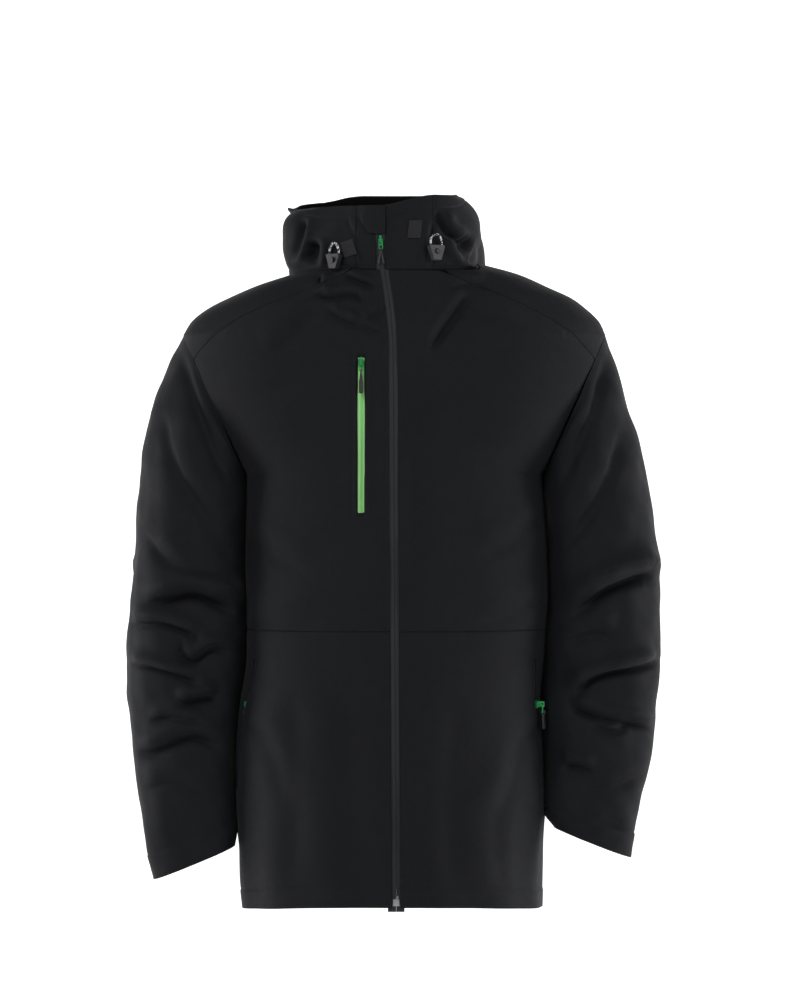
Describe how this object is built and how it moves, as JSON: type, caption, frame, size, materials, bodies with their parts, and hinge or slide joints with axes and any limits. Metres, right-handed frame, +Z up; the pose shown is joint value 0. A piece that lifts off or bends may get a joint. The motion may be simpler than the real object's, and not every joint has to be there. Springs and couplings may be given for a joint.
{
  "type": "ski jacket",
  "caption": "Hard-shell ski jacket with a folded-down hood, front zip, chest and hand pocket zips, drawcord locks, and sleeves that lift and bend.",
  "frame": {"origin": "middle of the neck's base, level with the seam between body and collar, where the jacket rests on the wearer's shoulders", "axes": "+X to the wearer's left, +Y to the back, +Z up; the front faces -Y"},
  "size_m": [0.642, 0.3588, 0.842],
  "materials": {
    "shell": "matte woven nylon laminate",
    "green_enamel": "gloss enamel",
    "puller_black": "matte moulded",
    "green_tape": "coated zip tape",
    "zip_tape": "coated reverse coil tape",
    "zip_metal": "satin",
    "patch": "matte heat-bonded",
    "trim_black": "matte",
    "shock_cord": "braided, flecked",
    "lock_grey": "moulded",
    "lock_black": "moulded",
    "inner_cloth": "light woven"
  },
  "bodies": {
    "jacket": {"front_upper_right": "shell", "front_upper_left": "shell", "front_lower_right": "shell", "front_lower_left": "shell", "back_upper": "shell", "back_lower": "shell", "yoke_right": "shell", "yoke_left": "shell", "collar_right": "shell", "collar_left": "shell", "chin_guard": "shell", "hood_centre": "shell", "hood_side_right": "shell", "hood_side_left": "shell", "collar_patch_right": "patch", "collar_patch_left": "patch", "cord_lock_right": "lock_black", "cord_lock_left": "lock_grey", "hood_cord_right": "shock_cord", "hood_cord_left": "shock_cord", "zip_tape_right": "zip_tape", "zip_tape_left": "zip_tape", "zip_retainer_box": "zip_metal", "zip_insertion_pin": "zip_metal", "chest_zip_tape": "green_tape", "right_hand_zip_tape": "green_tape", "left_hand_zip_tape": "green_tape", "chest_pocket_bag": "inner_cloth", "right_hand_pocket_bag": "inner_cloth", "left_hand_pocket_bag": "inner_cloth", "powder_skirt": "inner_cloth", "hanging_loop": "trim_black"},
    "front_zip_slider": {"front_zip_slider": "green_enamel"},
    "front_zip_tab": {"front_zip_tab": "green_enamel"},
    "front_zip_puller": {"front_zip_puller": "puller_black"},
    "chest_zip_slider": {"chest_zip_slider": "green_enamel"},
    "chest_zip_tab": {"chest_zip_tab": "green_enamel"},
    "chest_zip_puller": {"chest_zip_puller": "puller_black"},
    "right_hand_zip_slider": {"right_hand_zip_slider": "green_enamel"},
    "right_hand_zip_tab": {"right_hand_zip_tab": "green_enamel"},
    "right_hand_zip_puller": {"right_hand_zip_puller": "puller_black"},
    "left_hand_zip_slider": {"left_hand_zip_slider": "green_enamel"},
    "left_hand_zip_tab": {"left_hand_zip_tab": "green_enamel"},
    "left_hand_zip_puller": {"left_hand_zip_puller": "puller_black"},
    "lock_button_right": {"lock_button_right": "lock_black"},
    "sleeve_upper_right": {"sleeve_upper_right": "shell"},
    "sleeve_lower_right": {"sleeve_lower_right": "shell", "cuff_right": "shell", "cuff_loop_strip_right": "trim_black"},
    "cuff_tab_right": {"cuff_tab_right": "trim_black"},
    "lock_button_left": {"lock_button_left": "lock_black"},
    "sleeve_upper_left": {"sleeve_upper_left": "shell"},
    "sleeve_lower_left": {"sleeve_lower_left": "shell", "cuff_left": "shell", "cuff_loop_strip_left": "trim_black"},
    "cuff_tab_left": {"cuff_tab_left": "trim_black"}
  },
  "joints": [
    {"name": "front_zip_run", "type": "slide", "parent": "jacket", "child": "front_zip_slider", "axis": [0.0216, -0.0539, -0.9983], "range_m": [0, 0.769]},
    {"name": "front_zip_tab_swing", "type": "hinge", "parent": "front_zip_slider", "child": "front_zip_tab", "pos_m": [-0.016, -0.11006, 0.03413], "axis": [-0.9998, 0, -0.0217], "range_deg": [0, 120]},
    {"name": "front_zip_puller_swing", "type": "hinge", "parent": "front_zip_tab", "child": "front_zip_puller", "pos_m": [-0.01577, -0.11065, 0.02315], "axis": [-0.9998, 0, -0.0217], "range_deg": [0, 60]},
    {"name": "chest_zip_run", "type": "slide", "parent": "jacket", "child": "chest_zip_slider", "axis": [0, -0.0507, -0.9987], "range_m": [0, 0.17]},
    {"name": "chest_zip_tab_swing", "type": "hinge", "parent": "chest_zip_slider", "child": "chest_zip_tab", "pos_m": [-0.0388, -0.11887, -0.1098], "axis": [-1, 0, 0], "range_deg": [0, 120]},
    {"name": "chest_zip_puller_swing", "type": "hinge", "parent": "chest_zip_tab", "child": "chest_zip_puller", "pos_m": [-0.0388, -0.11938, -0.11978], "axis": [-1, 0, 0], "range_deg": [0, 60]},
    {"name": "right_hand_zip_run", "type": "slide", "parent": "jacket", "child": "right_hand_zip_slider", "axis": [-0.0632, 0.1586, -0.9853], "range_m": [-0.048, 0.093]},
    {"name": "right_hand_zip_tab_swing", "type": "hinge", "parent": "right_hand_zip_slider", "child": "right_hand_zip_tab", "pos_m": [-0.17523, -0.05981, -0.51117], "axis": [-0.3049, 0.937, 0.1704], "range_deg": [0, 120]},
    {"name": "right_hand_zip_puller_swing", "type": "hinge", "parent": "right_hand_zip_tab", "child": "right_hand_zip_puller", "pos_m": [-0.17586, -0.05823, -0.52102], "axis": [-0.3049, 0.937, 0.1704], "range_deg": [0, 60]},
    {"name": "left_hand_zip_run", "type": "slide", "parent": "jacket", "child": "left_hand_zip_slider", "axis": [0.0632, 0.1586, -0.9853], "range_m": [-0.048, 0.093]},
    {"name": "left_hand_zip_tab_swing", "type": "hinge", "parent": "left_hand_zip_slider", "child": "left_hand_zip_tab", "pos_m": [0.17523, -0.05981, -0.51117], "axis": [-0.3049, -0.937, -0.1704], "range_deg": [0, 120]},
    {"name": "left_hand_zip_puller_swing", "type": "hinge", "parent": "left_hand_zip_tab", "child": "left_hand_zip_puller", "pos_m": [0.17586, -0.05823, -0.52102], "axis": [-0.3049, -0.937, -0.1704], "range_deg": [0, 60]},
    {"name": "lock_button_right_press", "type": "slide", "parent": "jacket", "child": "lock_button_right", "axis": [0.6195, 0.785, 0.0075], "range_m": [0, 0.0018], "stiffness_N_per_m": 600, "springref_m": -0.001},
    {"name": "sleeve_lift_right", "type": "hinge", "parent": "jacket", "child": "sleeve_upper_right", "pos_m": [-0.253, 0, -0.073], "axis": [0, 1, 0], "range_deg": [0, 45]},
    {"name": "elbow_bend_right", "type": "hinge", "parent": "sleeve_upper_right", "child": "sleeve_lower_right", "pos_m": [-0.254, -0.0755, -0.438], "axis": [-1, 0, 0], "range_deg": [0, 45]},
    {"name": "cuff_tab_peel_right", "type": "hinge", "parent": "sleeve_lower_right", "child": "cuff_tab_right", "pos_m": [-0.26438, -0.00013, -0.69525], "axis": [0.1603, -0.2856, -0.9448], "range_deg": [0, 75]},
    {"name": "lock_button_left_press", "type": "slide", "parent": "jacket", "child": "lock_button_left", "axis": [-0.4522, 0.89, -0.0575], "range_m": [0, 0.0018], "stiffness_N_per_m": 600, "springref_m": -0.001},
    {"name": "sleeve_lift_left", "type": "hinge", "parent": "jacket", "child": "sleeve_upper_left", "pos_m": [0.253, 0, -0.073], "axis": [0, -1, 0], "range_deg": [0, 45]},
    {"name": "elbow_bend_left", "type": "hinge", "parent": "sleeve_upper_left", "child": "sleeve_lower_left", "pos_m": [0.254, -0.0755, -0.438], "axis": [-1, 0, 0], "range_deg": [0, 45]},
    {"name": "cuff_tab_peel_left", "type": "hinge", "parent": "sleeve_lower_left", "child": "cuff_tab_left", "pos_m": [0.26438, -0.00013, -0.67145], "axis": [0.1746, 0.3112, 0.9342], "range_deg": [0, 75]}
  ]
}
